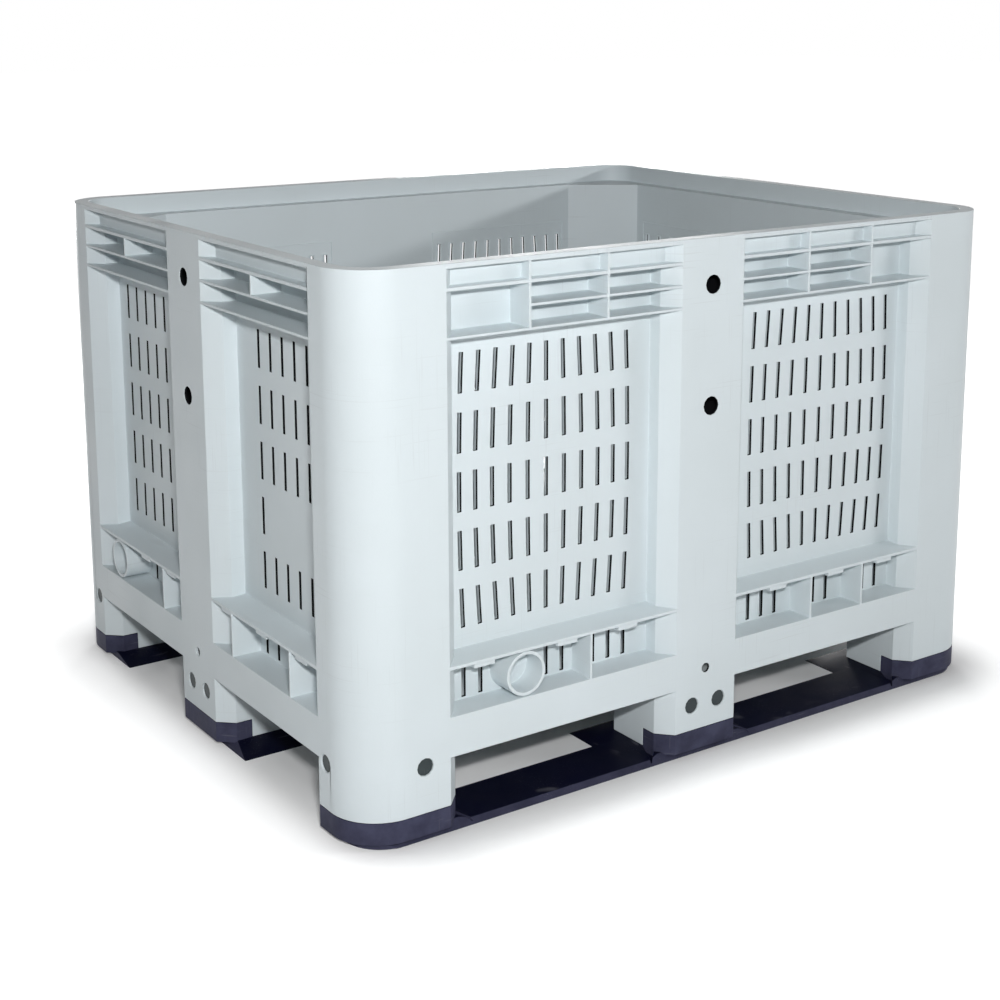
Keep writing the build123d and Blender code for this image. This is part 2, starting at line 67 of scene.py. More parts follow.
SocketValue = float | Colour | Point | Socket

WHITE: Colour = (1.0, 1.0, 1.0, 1.0)
# The directions from a rectangle's middle to its corners, going round
CORNERS = ((-1, -1), (1, -1), (1, 1), (-1, 1))
# The place of a piece's second material
SECOND_FINISH = 1
# Socket numbers of a Mix node that mixes colours
MIX_FIRST, MIX_SECOND, MIXED = 6, 7, 2


class Slot(Enum):
    """The record's material slots."""

    BOX = "box_plastic"
    SKID = "skid_plastic"
    PLUG = "plug_plastic"


class Side(Enum):
    """The tub's four sides, each with the turn that brings the front there."""

    FRONT = 0
    RIGHT = 90
    BACK = 180
    LEFT = 270


def linear(code: str) -> Colour:
    """Turn an sRGB hex colour into linear RGBA.

    Args:
        code: The colour as #RRGGBB.

    Returns:
        Red, green, blue and alpha on a linear scale.
    """
    channels = (int(code[i:i + 2], 16) / 255 for i in (1, 3, 5))
    return (*(c / 12.92 if c <= 0.04045 else ((c + 0.055) / 1.055) ** 2.4 for c in channels), 1.0)


def add_node(tree: Tree, kind: str, inputs: dict[str | int, SocketValue] | None = None,
             **settings: str) -> bpy.types.Node:
    """Add a node to a tree with its settings, socket values and incoming links.

    Args:
        tree: The tree that gets the node.
        kind: The node's type name.
        inputs: Per input socket, by name or number, a value to set or an output socket to link.
        **settings: The node's own properties.

    Returns:
        The new node.
    """
    node = tree.nodes.new(kind)
    for name, value in settings.items():
        setattr(node, name, value)
    for key, value in (inputs or {}).items():
        if isinstance(value, Socket):
            tree.links.new(value, node.inputs[key])
        else:
            node.inputs[key].default_value = value
    return node


def per_metre(size_mm: float) -> float:
    """Give the texture scale whose features are this many millimetres across."""
    return 1.0 / (size_mm * MM)


@dataclass(frozen=True)
class Plastic:
    """A moulded plastic: its colour, its unevenness, its marks from use and its gloss.

    A range gives the noise values between which a pattern fades in, and a spread gives a pattern's size as a
    share of the mottle's.
    """

    name: str
    colour: str
    mottle: str
    mark: str
    dirt: str
    roughness: float
    mottle_mm: float
    scratch_mm: float
    scratch_length_mm: float
    scratch_share: float
    dirt_height_mm: float
    dirt_share: float
    grain_mm: float
    grain_depth_mm: float
    speck_cell_mm: float
    speck_mm: float
    ior: float = 1.54
    specular: float = 0.5
    cloud_range: Range = (0.3, 0.7)
    scratch_turn: Point = (0.35, 0.25, 0.0)
    scratch_range: Range = (0.66, 0.74)
    worn_range: Range = (0.45, 0.65)
    worn_spread: float = 0.6
    dirt_spread: float = 0.25
    speck_core: float = 0.6
    speck_strength: float = 0.8
    bare_cells: float = 0.62
    gloss_spread: float = 0.4
    gloss_swing: float = 0.06
    scratch_roughness: float = 0.25
    scratch_sink: float = 0.8
    relief_strength: float = 0.5

    def build(self) -> bpy.types.Material:
        """Make the material.

        Returns:
            The procedural material.
        """
        material = bpy.data.materials.new(self.name)
        material.use_nodes = True
        tree = material.node_tree
        place = add_node(tree, "ShaderNodeTexCoord").outputs["Object"]
        colour = self.clean_colour(tree, place)
        scratch = self.scratches(tree, place)
        layers = ((scratch, self.mark), (self.dirt_low_down(tree, place), self.dirt),
                  (self.specks(tree, place), self.dirt))
        for share, code in layers:
            colour = add_node(tree, "ShaderNodeMix", {
                "Factor": share, MIX_FIRST: colour, MIX_SECOND: linear(code)},
                data_type="RGBA").outputs[MIXED]
        shader = tree.nodes["Principled BSDF"]
        shader.inputs["IOR"].default_value = self.ior
        shader.inputs["Specular IOR Level"].default_value = self.specular
        tree.links.new(colour, shader.inputs["Base Color"])
        tree.links.new(self.gloss(tree, place, scratch), shader.inputs["Roughness"])
        tree.links.new(self.relief(tree, place, scratch), shader.inputs["Normal"])
        return material

    def clean_colour(self, tree: Tree, place: Socket) -> Socket:
        """Mix the two shades that the cooling melt leaves in broad clouds.

        Args:
            tree: The material's tree.
            place: Where on the piece, in metres.

        Returns:
            The colour without marks.
        """
        cloud = add_node(tree, "ShaderNodeTexNoise", {
            "Vector": place, "Scale": per_metre(self.mottle_mm), "Detail": 3.0, "Roughness": 0.55})
        share = add_node(tree, "ShaderNodeMapRange", {
            "Value": cloud.outputs["Fac"], "From Min": self.cloud_range[0], "From Max": self.cloud_range[1]})
        return add_node(tree, "ShaderNodeMix", {
            "Factor": share.outputs[0], MIX_FIRST: linear(self.colour), MIX_SECOND: linear(self.mottle)},
            data_type="RGBA").outputs[MIXED]

    def scratches(self, tree: Tree, place: Socket) -> Socket:
        """Draw rubs and scratches as long thin threads of noise in two directions.

        Args:
            tree: The material's tree.
            place: Where on the piece, in metres.

        Returns:
            How strongly each place is scratched, from 0 to 1.
        """
        fine, long = per_metre(self.scratch_mm), per_metre(self.scratch_length_mm)
        upright = add_node(tree, "ShaderNodeMapping", {"Vector": place, "Scale": (fine, fine, long)})
        level = add_node(tree, "ShaderNodeMapping", {
            "Vector": place, "Rotation": self.scratch_turn, "Scale": (long, long, fine)})
        threads = []
        for run in (upright, level):
            noise = add_node(tree, "ShaderNodeTexNoise", {
                "Vector": run.outputs[0], "Scale": 1.0, "Detail": 1.0})
            threads.append(add_node(tree, "ShaderNodeMapRange", {
                "Value": noise.outputs["Fac"], "From Min": self.scratch_range[0],
                "From Max": self.scratch_range[1]}).outputs[0])
        both = add_node(tree, "ShaderNodeMath", {0: threads[0], 1: threads[1]}, operation="MAXIMUM")
        worn = add_node(tree, "ShaderNodeTexNoise", {
            "Vector": place, "Scale": per_metre(self.mottle_mm * self.worn_spread), "Detail": 2.0})
        where = add_node(tree, "ShaderNodeMapRange", {
            "Value": worn.outputs["Fac"], "From Min": self.worn_range[0], "From Max": self.worn_range[1],
            "To Max": self.scratch_share})
        return add_node(tree, "ShaderNodeMath", {0: both.outputs[0], 1: where.outputs[0]},
                        operation="MULTIPLY").outputs[0]

    def dirt_low_down(self, tree: Tree, place: Socket) -> Socket:
        """Let splashed dirt fade out upwards from the ground.

        Args:
            tree: The material's tree.
            place: Where on the piece, in metres.

        Returns:
            How dirty each place is, from 0 to 1.
        """
        height = add_node(tree, "ShaderNodeSeparateXYZ", {"Vector": place})
        low = add_node(tree, "ShaderNodeMapRange", {
            "Value": height.outputs["Z"], "From Min": self.dirt_height_mm * MM, "From Max": 0.0,
            "To Max": self.dirt_share})
        cloud = add_node(tree, "ShaderNodeTexNoise", {
            "Vector": place, "Scale": per_metre(self.mottle_mm * self.dirt_spread), "Detail": 5.0,
            "Roughness": 0.65})
        return add_node(tree, "ShaderNodeMath", {0: low.outputs[0], 1: cloud.outputs["Fac"]},
                        operation="MULTIPLY").outputs[0]

    def specks(self, tree: Tree, place: Socket) -> Socket:
        """Scatter small dark specks, one in a few cells of a loose net.

        Args:
            tree: The material's tree.
            place: Where on the piece, in metres.

        Returns:
            How strongly each place is darkened by a speck, from 0 to 1.
        """
        cells = add_node(tree, "ShaderNodeTexVoronoi", {
            "Vector": place, "Scale": per_metre(self.speck_cell_mm)})
        radius = self.speck_mm / 2 / self.speck_cell_mm
        dot = add_node(tree, "ShaderNodeMapRange", {
            "Value": cells.outputs["Distance"], "From Min": radius, "From Max": radius * self.speck_core,
            "To Max": self.speck_strength})
        pick = add_node(tree, "ShaderNodeMath", {0: cells.outputs["Color"], 1: self.bare_cells},
                        operation="GREATER_THAN")
        return add_node(tree, "ShaderNodeMath", {0: dot.outputs[0], 1: pick.outputs[0]},
                        operation="MULTIPLY").outputs[0]

    def gloss(self, tree: Tree, place: Socket, scratch: Socket) -> Socket:
        """Vary the roughness with the handling, rougher where scratched.

        Args:
            tree: The material's tree.
            place: Where on the piece, in metres.
            scratch: How strongly each place is scratched.

        Returns:
            The roughness.
        """
        cloud = add_node(tree, "ShaderNodeTexNoise", {
            "Vector": place, "Scale": per_metre(self.mottle_mm * self.gloss_spread), "Detail": 4.0})
        base = add_node(tree, "ShaderNodeMapRange", {
            "Value": cloud.outputs["Fac"], "From Min": self.cloud_range[0], "From Max": self.cloud_range[1],
            "To Min": self.roughness - self.gloss_swing, "To Max": self.roughness + self.gloss_swing})
        return add_node(tree, "ShaderNodeMath", {0: scratch, 1: self.scratch_roughness, 2: base.outputs[0]},
                        operation="MULTIPLY_ADD").outputs[0]

    def relief(self, tree: Tree, place: Socket, scratch: Socket) -> Socket:
        """Raise the mould's fine grain and sink the scratches.

        Args:
            tree: The material's tree.
            place: Where on the piece, in metres.
            scratch: How strongly each place is scratched.

        Returns:
            The bumped normal.
        """
        grain = add_node(tree, "ShaderNodeTexNoise", {
            "Vector": place, "Scale": per_metre(self.grain_mm), "Detail": 2.0})
        height = add_node(tree, "ShaderNodeMath", {
            0: scratch, 1: -self.scratch_sink, 2: grain.outputs["Fac"]}, operation="MULTIPLY_ADD")
        return add_node(tree, "ShaderNodeBump", {
            "Height": height.outputs[0], "Strength": self.relief_strength,
            "Distance": self.grain_depth_mm * MM}).outputs[0]


@dataclass(frozen=True)
class WornAndSheenPlastic(Plastic):
    """A moulded plastic whose upright faces get another shade: wear from rubbing, and a painted sheen for
    the light they catch.

    The upright range gives the steepness, as the normal's share along Z, between which the shade fades in.
    """

    wear_and_sheen: str = "#000000"
    upright_range: Range = (0.95, 0.6)
    patch_spread: float = 0.3
    patch_range: Range = (0.3, 0.6)
    least_wear_and_sheen: float = 0.6

    def clean_colour(self, tree: Tree, place: Socket) -> Socket:
        """Give upright faces the worn and painted-sheen shade, in the same broad clouds.

        Args:
            tree: The material's tree.
            place: Where on the piece, in metres.

        Returns:
            The colour without marks.
        """
        normal = add_node(tree, "ShaderNodeNewGeometry").outputs["Normal"]
        axes = add_node(tree, "ShaderNodeSeparateXYZ", {0: normal}).outputs
        level = add_node(tree, "ShaderNodeMath", {0: axes["Z"]}, operation="ABSOLUTE")
        upright = add_node(tree, "ShaderNodeMapRange", {
            "Value": level.outputs[0], "From Min": self.upright_range[0], "From Max": self.upright_range[1]})
        cloud = add_node(tree, "ShaderNodeTexNoise", {
            "Vector": place, "Scale": per_metre(self.mottle_mm * self.patch_spread), "Detail": 4.0,
            "Roughness": 0.6})
        patchy = add_node(tree, "ShaderNodeMapRange", {
            "Value": cloud.outputs["Fac"], "From Min": self.patch_range[0], "From Max": self.patch_range[1],
            "To Min": self.least_wear_and_sheen})
        share = add_node(tree, "ShaderNodeMath", {0: upright.outputs[0], 1: patchy.outputs[0]},
                         operation="MULTIPLY")
        return add_node(tree, "ShaderNodeMix", {
            "Factor": share.outputs[0], MIX_FIRST: super().clean_colour(tree, place),
            MIX_SECOND: linear(self.wear_and_sheen)}, data_type="RGBA").outputs[MIXED]


# Injection-moulded high-density polyethylene, pale cool grey: a satin, faintly cloudy surface with soft
# broad highlights, a few hairline rubs and specks. Its eggshell grain is finer than 1 mm and the rubs are
# hairs, and both are drawn coarser here so that they show.
GREY_POLYETHYLENE = Plastic(
    name="high_density_polyethylene_moulded_pale_grey",
    colour="#D5DEE2", mottle="#CFD8DB", mark="#C0C6C8", dirt="#6B6862", roughness=0.42, mottle_mm=320,
    scratch_mm=2.2, scratch_length_mm=120, scratch_share=0.35, dirt_height_mm=260, dirt_share=0.06,
    grain_mm=3.0, grain_depth_mm=0.12, speck_cell_mm=170, speck_mm=3.2, specular=0.3)

# Painted shade: the same polyethylene coloured near black inside the hollow posts, in their larger holes, on
# the cut sides of the slots and on the lips' flanks towards them, so that the holes and slots look dark as
# in shadow.
SHADE_PAINTED_POLYETHYLENE = Plastic(
    name="high_density_polyethylene_painted_shade",
    colour="#101114", mottle="#0A0B0E", mark="#1A1B1E", dirt="#060607", roughness=0.85, mottle_mm=60,
    scratch_mm=2.2, scratch_length_mm=60, scratch_share=0.2, dirt_height_mm=260, dirt_share=0.3,
    grain_mm=3.0, grain_depth_mm=0.2, speck_cell_mm=40, speck_mm=3.0, specular=0.1)

# Reground high-density polyethylene, moulded near black: deep navy on its level faces, greyed on its
# upright faces partly by the forks and legs that rub them and partly as a painted sheen, with pale scrapes.
NAVY_POLYETHYLENE = WornAndSheenPlastic(
    name="reground_polyethylene_moulded_navy",
    colour="#04061F", mottle="#03051A", mark="#6C6C74", dirt="#24242E", roughness=0.5, mottle_mm=140,
    scratch_mm=2.0, scratch_length_mm=45, scratch_share=0.5, dirt_height_mm=60, dirt_share=0.2,
    grain_mm=3.0, grain_depth_mm=0.2, speck_cell_mm=90, speck_mm=2.6, specular=0.07, wear_and_sheen="#44455A")

# Moulded polypropylene: the plugs are a smoother, slightly glossier grey-green than the skids they pin.
GREY_POLYPROPYLENE = Plastic(
    name="polypropylene_moulded_dark_grey",
    colour="#343C3E", mottle="#2C3436", mark="#6A7172", dirt="#202425", roughness=0.45, mottle_mm=40,
    scratch_mm=1.5, scratch_length_mm=18, scratch_share=0.4, dirt_height_mm=120, dirt_share=0.25,
    grain_mm=2.0, grain_depth_mm=0.1, speck_cell_mm=60, speck_mm=1.6, ior=1.49, specular=0.25)


def add_piece(name: str, mesh: bpy.types.Mesh, material: bpy.types.Material) -> bpy.types.Object:
    """Put a finished mesh into the scene as a piece that rides on the body.

    Args:
        name: The piece's name.
        mesh: Its mesh, in metres in the shared frame.
        material: Its material.

    Returns:
        The new piece.
    """
    piece = bpy.data.objects.new(name, mesh)
    bpy.context.scene.collection.objects.link(piece)
    mesh.materials.clear()
    mesh.materials.append(material)
    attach(piece, BODY)
    return piece


def evaluated(source: bpy.types.Object) -> bpy.types.Mesh:
    """Give an object's mesh with its modifiers applied, and remove the object.

    Args:
        source: The object, which is in no scene yet.

    Returns:
        The finished mesh.
    """
    bpy.context.scene.collection.objects.link(source)
    depsgraph = bpy.context.evaluated_depsgraph_get()
    mesh = bpy.data.meshes.new_from_object(source.evaluated_get(depsgraph), depsgraph=depsgraph)
    bpy.data.objects.remove(source)
    return mesh


@dataclass
class Moulding:
    """A piece that leaves one mould, joined from the sections that it is drawn in.

    Angles are in degrees. The press is how far a section grows into its neighbours. A corner moves by a few
    presses at most, and the rank limit is the share below which two of its faces count as one plane.
    """

    name: str
    sections: list[str]
    slot: Slot
    finish: Plastic
    edge_mm: float = 1.0
    edge_steps: int = 2
    edge_angle: float = 25.0
    weld_mm: float = 0.002
    press_mm: float = 0.005
    most_presses: float = 3.0
    rank_limit: float = 1e-3
    tidy_mm: float = 0.7
    flat_angle: float = 0.5

    def build(self, box: tuple[Vector, Vector]) -> bpy.types.Object:
        """Join the sections, ease every edge and dress the piece.

        Args:
            box: The lowest and highest corner that the piece stays within.

        Returns:
            The moulded piece, which stands for its sections.
        """
        mesh = self.eased(self.joined(), box)
        piece = add_piece(self.name, mesh, self.finish.build())
        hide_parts(*self.sections)
        piece.modifiers.new("flat_faces", "WEIGHTED_NORMAL")
        return piece

    def joined(self) -> bpy.types.Mesh:
        """Unite copies of the sections and dissolve the lines across flat faces.

        Returns:
            One closed mesh with sharp edges.
        """
        first, *others = [self.copied(node) for node in self.sections]
        group = bpy.data.collections.new(self.name + "_sections")
        for other in others:
            group.objects.link(other)
        if others:
            union = first.modifiers.new("joined", "BOOLEAN")
            union.operation, union.operand_type, union.solver = "UNION", "COLLECTION", "MANIFOLD"
            union.collection = group
        mesh = evaluated(first)
        for other in others:
            bpy.data.objects.remove(other)
        bpy.data.collections.remove(group)
        work = bmesh.new()
        work.from_mesh(mesh)
        if others:
            bmesh.ops.remove_doubles(work, verts=work.verts, dist=self.tidy_mm * MM)
            bmesh.ops.dissolve_degenerate(work, dist=self.weld_mm * MM, edges=work.edges)
        bmesh.ops.dissolve_limit(work, angle_limit=math.radians(self.flat_angle), verts=work.verts,
                                 edges=work.edges)
        work.to_mesh(mesh)
        work.free()
        return mesh

    def copied(self, node: str) -> bpy.types.Object:
        """Copy one section, welded and grown by a hair so that it presses into its neighbours.

        Args:
            node: The section's name.

        Returns:
            The copy, which is in no scene yet.
        """
        work = bmesh.new()
        work.from_mesh(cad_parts[node].data)
        bmesh.ops.remove_doubles(work, verts=work.verts, dist=self.weld_mm * MM)
        work.normal_update()
        moves = [(vertex, self.outward(vertex)) for vertex in work.verts] if len(self.sections) > 1 else []
        for vertex, move in moves:
            vertex.co += move
        mesh = bpy.data.meshes.new(node + "_section")
        work.to_mesh(mesh)
        work.free()
        return bpy.data.objects.new(node + "_section", mesh)

    def outward(self, vertex: bmesh.types.BMVert) -> Vector:
        """Give the move that carries a corner's faces outwards by the press.

        Args:
            vertex: The corner.

        Returns:
            The move, in metres.
        """
        normals = [list(face.normal) for face in vertex.link_faces]
        press = self.press_mm * MM
        move = np.linalg.lstsq(np.array(normals), np.full(len(normals), press), rcond=self.rank_limit)[0]
        return Vector(move) * min(1.0, self.most_presses * press / max(np.linalg.norm(move), press))

    def eased(self, mesh: bpy.types.Mesh, box: tuple[Vector, Vector]) -> bpy.types.Mesh:
        """Ease the sharp edges, and keep the corners that this throws up inside the box.

        Args:
            mesh: The sharp mesh, which is used up.
            box: The lowest and highest corner that the piece stays within.

        Returns:
            The eased mesh with smooth faces.
        """
        sharp = bpy.data.objects.new(self.name + "_sharp", mesh)
        edge = sharp.modifiers.new("eased_edges", "BEVEL")
        edge.width, edge.segments, edge.use_clamp_overlap = self.edge_mm * MM, self.edge_steps, False
        edge.limit_method, edge.angle_limit = "ANGLE", math.radians(self.edge_angle)
        eased = evaluated(sharp)
        eased.name = self.name
        for vertex in eased.vertices:
            vertex.co = [min(max(at, low), high) for at, low, high in zip(vertex.co, *box)]
        for face in eased.polygons:
            face.use_smooth = True
        return eased


@dataclass
class SlotField:
    """The slots of one panel: the raised lip round each on the inside, and the bead that frames them.

    Lengths are in millimetres. The crest gives the outer and inner edge of a ring's top, as shares of its
    width.
    """

    columns: tuple[float, ...]
    rows: tuple[float, ...]
    face: float
    slot_width: float = 6.5
    slot_height: float = 56.0
    lip_width: float = 2.0
    lip_height: float = 3.2
    crest: tuple[float, float] = (0.7, 0.1)
    sunk: float = 0.4
    bead_width: float = 3.0
    bead_height: float = 1.2
    bead_aside: float = 13.0
    bead_above: float = 22.0
    bow: float = 0.0
    bow_wave: float = 1.3
    plain_row: int | None = None

    def add_to(self, work: bmesh.types.BMesh, turn: Matrix) -> None:
        """Add this field's lips and bead to a mesh.

        Args:
            work: The mesh that grows.
            turn: Where the field's side stands.
        """
        middle = ((self.columns[0] + self.columns[-1]) / 2, (self.rows[0] + self.rows[-1]) / 2)
        half_panel = abs(self.columns[-1] - self.columns[0]) / 2
        half_height = abs(self.rows[-1] - self.rows[0]) / 2 + self.slot_height / 2
        for column in self.columns:
            bow = self.bow * math.sin(math.pi * (column - middle[0]) / half_panel / self.bow_wave)
            for number, row in enumerate(self.rows):
                if number == self.plain_row and column != self.columns[0]:
                    continue
                up = (row - middle[1]) / half_height
                lip = self.ring(work, turn, (column + bow * (1 - up ** 2), row),
                                (self.slot_width / 2, self.slot_height / 2), self.lip_width, self.lip_height,
                                -math.atan(2 * bow * up / half_height))
                # The lip's flanks towards the slot take the second material, painted shade.
                for face in lip[-len(CORNERS):]:
                    face.material_index = SECOND_FINISH
        self.ring(work, turn, middle, (half_panel + self.bead_aside, half_height + self.bead_above),
                  self.bead_width, self.bead_height)

    def ring(self, work: bmesh.types.BMesh, turn: Matrix, middle: tuple[float, float],
             half: tuple[float, float], width: float, height: float,
             lean: float = 0.0) -> list[bmesh.types.BMFace]:
        """Add a raised rectangular ring with sloped flanks to a mesh.

        Args:
            work: The mesh that grows.
            turn: Where the field's side stands.
            middle: The ring's centre along the wall and up.
            half: Half its clear opening along the wall and up.
            width: How broad the ring is at its foot.
            height: How far it stands into the tub.
            lean: How far its top leans along the wall, in radians.

        Returns:
            The ring's faces, those towards its opening last.
        """
        tilt = Matrix.Rotation(lean, 3, "Y")
        outer, inner = (width * share for share in self.crest)
        loops, faces = [], []
        for grow, out in ((0.0, -self.sunk), (width, -self.sunk), (outer, height), (inner, height)):
            centre = Vector((middle[0], self.face + out, middle[1]))
            arms = [tilt @ Vector((u * (half[0] + grow), 0, v * (half[1] + grow))) for u, v in CORNERS]
            loops.append([work.verts.new(turn @ (centre + arm) * MM) for arm in arms])
        for first, second in zip(loops, loops[1:] + loops[:1]):
            for i in range(len(CORNERS)):
                j = (i + 1) % len(CORNERS)
                faces.append(work.faces.new((first[i], first[j], second[j], second[i])))
        return faces


@dataclass
class TubInside:
    """The raised lines inside the tub's four walls, in millimetres."""

    wall_depth: float = 51.0
    long_face: float = -500.0
    short_face: float = -600.0
    long_first: float = 124.0
    long_pitch: float = 28.0
    long_count: int = 11
    short_first: float = 149.5
    short_pitch: float = 37.0
    short_count: int = 6
    row_first: float = 300.25
    row_pitch: float = 83.0
    row_count: int = 5
    long_bow: float = 7.0
    short_plain_row: int = 1

    def build(self, finish: Plastic, slot_finish: Plastic) -> bpy.types.Object:
        """Make the lips and beads of all eight slot fields as one piece.

        Args:
            finish: The tub's plastic.
            slot_finish: The painted shade for the flanks that line the slots.

        Returns:
            The piece.
        """
        work = bmesh.new()
        rows = tuple(self.row_first + self.row_pitch * i for i in range(self.row_count))
        for side in Side:
            is_long = side in (Side.FRONT, Side.BACK)
            first, pitch, count, face = (
                (self.long_first, self.long_pitch, self.long_count, self.long_face) if is_long
                else (self.short_first, self.short_pitch, self.short_count, self.short_face))
            turn = Matrix.Rotation(math.radians(side.value), 3, "Z")
            for hand in (-1, 1):
                columns = tuple(hand * (first + pitch * i) for i in range(count))
                plain_row = self.short_plain_row if hand > 0 and not is_long else None
                field = SlotField(columns, rows, face + self.wall_depth, plain_row=plain_row,
                                  bow=self.long_bow if is_long else 0.0)
                field.add_to(work, turn)
        bmesh.ops.recalc_face_normals(work, faces=work.faces)
        mesh = bpy.data.meshes.new("slot_lips_and_beads")
        work.to_mesh(mesh)
        work.free()
        piece = add_piece("slot_lips_and_beads", mesh, finish.build())
        mesh.materials.append(slot_finish.build())
        return piece


@dataclass
class ShadePaintedPlaces:
    """Where shade is painted: the centre posts' hollows, their larger holes and the slots' cut sides.

    Lengths are in millimetres. Depths are counted from a side's outer face inwards.
    """

    long_face: float = 500.0
    short_face: float = 600.0
    face_half: float = 58.0
    reveal: tuple[float, float] = (22.0, 24.0)
    skin: float = 2.5
    back: float = 46.5
    band: float = 20.0
    band_level: float = 750.0
    levels: Range = (125.5, 784.0)
    hole_levels: tuple[float, ...] = (541.0, 721.0)
    hole_radius: float = 14.6
    hole_start: float = 0.9
    slot_depths: Range = (46.4, 50.6)
    slot_levels: Range = (169.0, 664.0)
    long_slots: Range = (84.0, 430.0)
    short_slots: Range = (84.0, 367.0)

    def dress(self, piece: bpy.types.Object, finish: Plastic) -> int:
        """Give these places a second finish, the painted shade.

        Args:
            piece: The tub.
            finish: The painted shade for the places.

        Returns:
            How many faces got it.
        """
        piece.data.materials.append(finish.build())
        inner = [face for face in piece.data.polygons if any(self.holds(face.center, side) for side in Side)]
        for face in inner:
            face.material_index = SECOND_FINISH
        return len(inner)

    def holds(self, point: Vector, side: Side) -> bool:
        """Tell whether a point lies in the hollow of one side's post, in its larger holes or in a slot.

        Args:
            point: The point, in metres.
            side: The side.

        Returns:
            True if it does.
        """
        along, out, up = (Matrix.Rotation(-math.radians(side.value), 3, "Z") @ point) / MM
        is_long = side in (Side.FRONT, Side.BACK)
        depth = out + (self.long_face if is_long else self.short_face)
        slots = self.long_slots if is_long else self.short_slots
        if slots[0] < abs(along) < slots[1] and self.slot_levels[0] < up < self.slot_levels[1]:
            return self.slot_depths[0] < depth < self.slot_depths[1]
        if min(math.hypot(along, up - level) for level in self.hole_levels) < self.hole_radius:
            return self.hole_start < depth < self.back
        half = self.face_half + self.reveal[0] * min(1.0, depth / self.reveal[1]) - self.skin
        back = self.band if up > self.band_level else self.back
        return abs(along) < half and self.skin < depth < back and self.levels[0] < up < self.levels[1]


@dataclass
class PhotoCamera:
    """The photograph's camera: place, direction and lens."""

    place: Point = (-1.61729, -2.35361, 1.11956)
    right: Point = (0.815126, -0.579281, 0.001856)
    down: Point = (-0.110205, -0.158216, -0.981235)
    lens: float = 61.81
    sensor: float = 36.0
    shift: tuple[float, float] = (-0.045, -0.16)

    def build(self) -> None:
        """Add the camera and make it the scene's."""
        data = bpy.data.cameras.new("photo_camera")
        data.sensor_width = self.sensor
        data.lens = self.lens
        data.shift_x, data.shift_y = self.shift
        camera = bpy.data.objects.new("photo_camera", data)
        x, y = Vector(self.right).normalized(), -Vector(self.down).normalized()
        turn = Matrix((x, y, x.cross(y))).transposed().to_4x4()
        camera.matrix_world = Matrix.Translation(self.place) @ turn
        bpy.context.scene.collection.objects.link(camera)
        bpy.context.scene.camera = camera


@dataclass(frozen=True)
class Softbox:
    """A flat studio lamp with an even face."""

    name: str
    place: Point
    aim: Point
    watts: float
    width: float
    height: float

    def build(self) -> None:
        """Hang the lamp and turn it to its aim."""
        data = bpy.data.lights.new(self.name, "AREA")
        data.shape, data.size, data.size_y, data.energy = "RECTANGLE", self.width, self.height, self.watts
        lamp = bpy.data.objects.new(self.name, data)
        lamp.location = self.place
        lamp.rotation_mode = "QUATERNION"
        lamp.rotation_quaternion = (Vector(self.place) - Vector(self.aim)).to_track_quat("Z", "Y")
        bpy.context.scene.collection.objects.link(lamp)


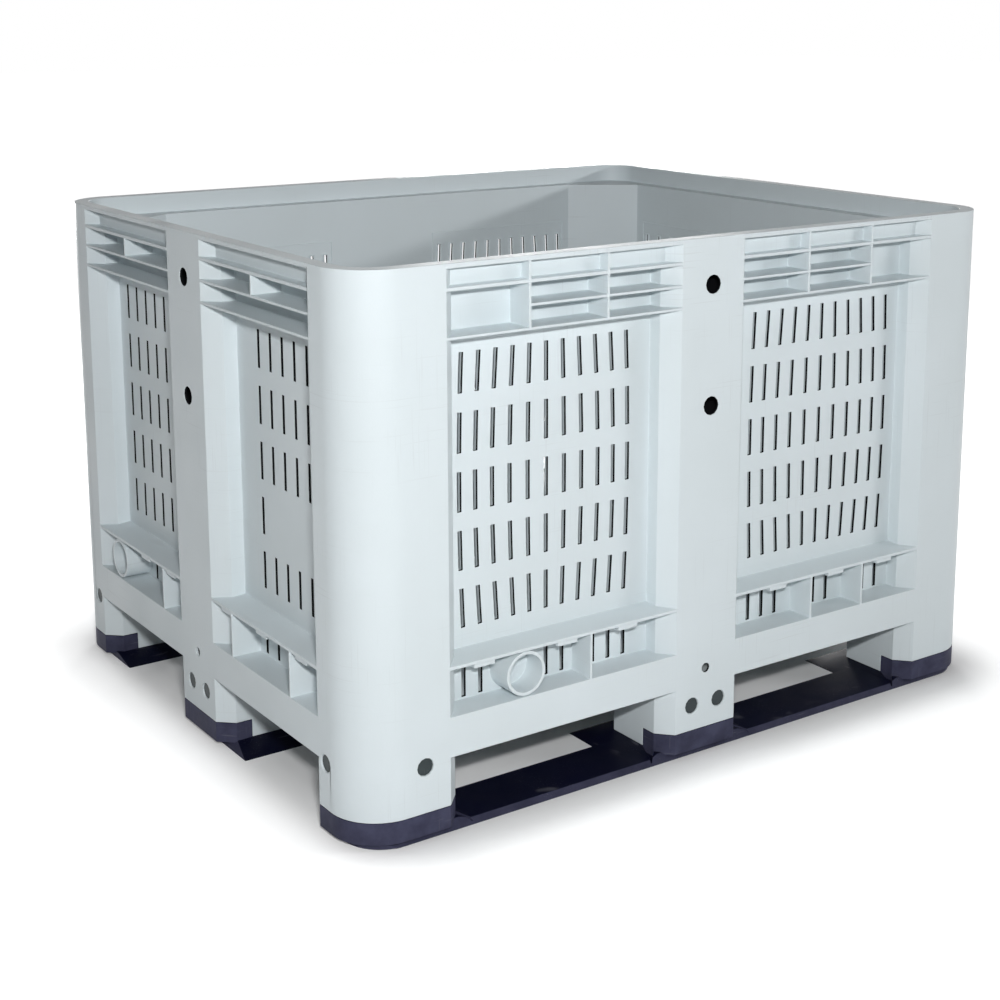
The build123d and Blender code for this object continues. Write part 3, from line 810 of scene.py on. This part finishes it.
@dataclass
class Studio:
    """The white floor, the pale surround and the lamps.

    The shade is the rectangle under the box where the floor doesn't glow. The ranges give the distances
    from it over which the near and the far part of the glow come in.
    """

    floor_half: float = 25.0
    floor_colour: str = "#F2F2F2"
    shade_centre: Point = (0.02, 0.0, 0.0)
    shade_half: tuple[float, float] = (0.48, 0.42)
    near_glow: float = 0.25
    near_range: Range = (0.08, 0.17)
    far_range: Range = (0.12, 0.32)
    sky_strength: float = 0.06
    lamps: tuple[Softbox, ...] = (
        Softbox("key", (-1.5, -2.31, 1.32), (-0.1, -0.1, 0.42), 44.5, 0.24, 0.05),
        Softbox("left", (-2.6, -0.9, 2.1), (-0.6, -0.1, 0.42), 3.6, 0.3, 0.05),
        Softbox("right", (2.8, -2.4, 1.36), (-0.1, -0.1, 0.42), 32.5, 0.8, 0.08),
        Softbox("behind", (2.2, 2.9, 0.9), (0.2, 0.2, 0.35), 55.0, 1.2, 0.6),
        Softbox("behind_left", (-0.5, 3.0, 0.66), (-0.3, 0.4, 0.4), 20.0, 0.4, 0.4))

    def build(self) -> None:
        """Build the floor, the surround and the lamps."""
        bpy.context.scene.view_settings.view_transform = "Standard"
        self.floor()
        self.surround()
        for lamp in self.lamps:
            lamp.build()

    def floor(self) -> None:
        """Lay the floor, which looks white and keeps the shadow."""
        half = self.floor_half
        mesh = bpy.data.meshes.new("floor")
        mesh.from_pydata([(u * half, v * half, 0) for u, v in CORNERS], [], [range(len(CORNERS))])
        floor = bpy.data.objects.new("floor", mesh)
        bpy.context.scene.collection.objects.link(floor)
        material = bpy.data.materials.new("painted_floor_white")
        material.use_nodes = True
        tree = material.node_tree
        shader = tree.nodes["Principled BSDF"]
        shader.inputs["Base Color"].default_value = linear(self.floor_colour)
        shader.inputs["Roughness"].default_value = 1.0
        shader.inputs["Specular IOR Level"].default_value = 0.0
        shader.inputs["Emission Color"].default_value = WHITE
        glow = add_node(tree, "ShaderNodeMath", {0: self.whiteness(tree), 1: self.looked_at(tree)},
                        operation="MULTIPLY")
        tree.links.new(glow.outputs[0], shader.inputs["Emission Strength"])
        mesh.materials.append(material)
        floor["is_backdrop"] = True

    def whiteness(self, tree: Tree) -> Socket:
        """Let the floor glow to white away from the box, and leave it dark under the box.

        Args:
            tree: The floor's tree.

        Returns:
            The strength of the glow.
        """
        place = add_node(tree, "ShaderNodeNewGeometry").outputs["Position"]
        offset = add_node(tree, "ShaderNodeVectorMath", {0: place, 1: self.shade_centre},
                          operation="SUBTRACT")
        size = add_node(tree, "ShaderNodeVectorMath", {0: offset.outputs[0]}, operation="ABSOLUTE")
        past = add_node(tree, "ShaderNodeVectorMath", {0: size.outputs[0], 1: (*self.shade_half, 0.0)},
                        operation="SUBTRACT")
        outside = add_node(tree, "ShaderNodeVectorMath", {0: past.outputs[0], 1: (0.0, 0.0, 0.0)},
                           operation="MAXIMUM")
        reach = add_node(tree, "ShaderNodeVectorMath", {0: outside.outputs[0]}, operation="LENGTH")
        away = reach.outputs["Value"]
        near = add_node(tree, "ShaderNodeMapRange", {
            "Value": away, "From Min": self.near_range[0], "From Max": self.near_range[1],
            "To Max": self.near_glow})
        far = add_node(tree, "ShaderNodeMapRange", {
            "Value": away, "From Min": self.far_range[0], "From Max": self.far_range[1],
            "To Max": 1.0 - self.near_glow})
        return add_node(tree, "ShaderNodeMath", {0: near.outputs[0], 1: far.outputs[0]},
                        operation="ADD").outputs[0]

    def looked_at(self, tree: Tree) -> Socket:
        """Tell the rays that show the background from those that light the object.

        Args:
            tree: The floor's or the surround's tree.

        Returns:
            1 where a ray comes straight from the camera, off a gloss or through glass, and 0 elsewhere.
        """
        path = add_node(tree, "ShaderNodeLightPath").outputs
        straight = add_node(tree, "ShaderNodeMath", {0: path["Is Camera Ray"], 1: path["Is Glossy Ray"]},
                            operation="MAXIMUM")
        return add_node(tree, "ShaderNodeMath", {0: straight.outputs[0], 1: path["Is Transmission Ray"]},
                        operation="MAXIMUM").outputs[0]

    def surround(self) -> None:
        """Light the scene softly from all round, with white behind the object."""
        world = bpy.data.worlds.new("studio")
        bpy.context.scene.world = world
        world.use_nodes = True
        tree = world.node_tree
        strength = add_node(tree, "ShaderNodeMapRange", {
            "Value": self.looked_at(tree), "To Min": self.sky_strength})
        background = tree.nodes["Background"]
        background.inputs["Color"].default_value = WHITE
        tree.links.new(strength.outputs[0], background.inputs["Strength"])


def main() -> None:
    """Build the pallet box and its studio."""
    logging.basicConfig(level=logging.INFO, format="%(name)s: %(message)s")
    cad_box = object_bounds()
    PhotoCamera().build()
    tub_sections = [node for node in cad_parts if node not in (*SKID_NAMES, PLUG_NAME)]
    mouldings = [Moulding("tub_moulding", tub_sections, Slot.BOX, GREY_POLYETHYLENE)]
    mouldings += [Moulding(name + "_moulding", [name], Slot.SKID, NAVY_POLYETHYLENE, edge_mm=0.6)
                  for name in SKID_NAMES]
    mouldings.append(Moulding("plug_set", [PLUG_NAME], Slot.PLUG, GREY_POLYPROPYLENE, edge_mm=0.6))
    pieces = [moulding.build(cad_box) for moulding in mouldings]
    for piece in pieces:
        LOG.info("%s: %d faces", piece.name, len(piece.data.polygons))
    # The post hollows, their holes and the slot sides get painted shade.
    LOG.info("shade_painted places: %d faces", ShadePaintedPlaces().dress(pieces[0], SHADE_PAINTED_POLYETHYLENE))
    lines = TubInside().build(GREY_POLYETHYLENE, SHADE_PAINTED_POLYETHYLENE)
    LOG.info("%s: %d faces", lines.name, len(lines.data.polygons))
    Studio().build()


if __name__ == "__main__":
    main()
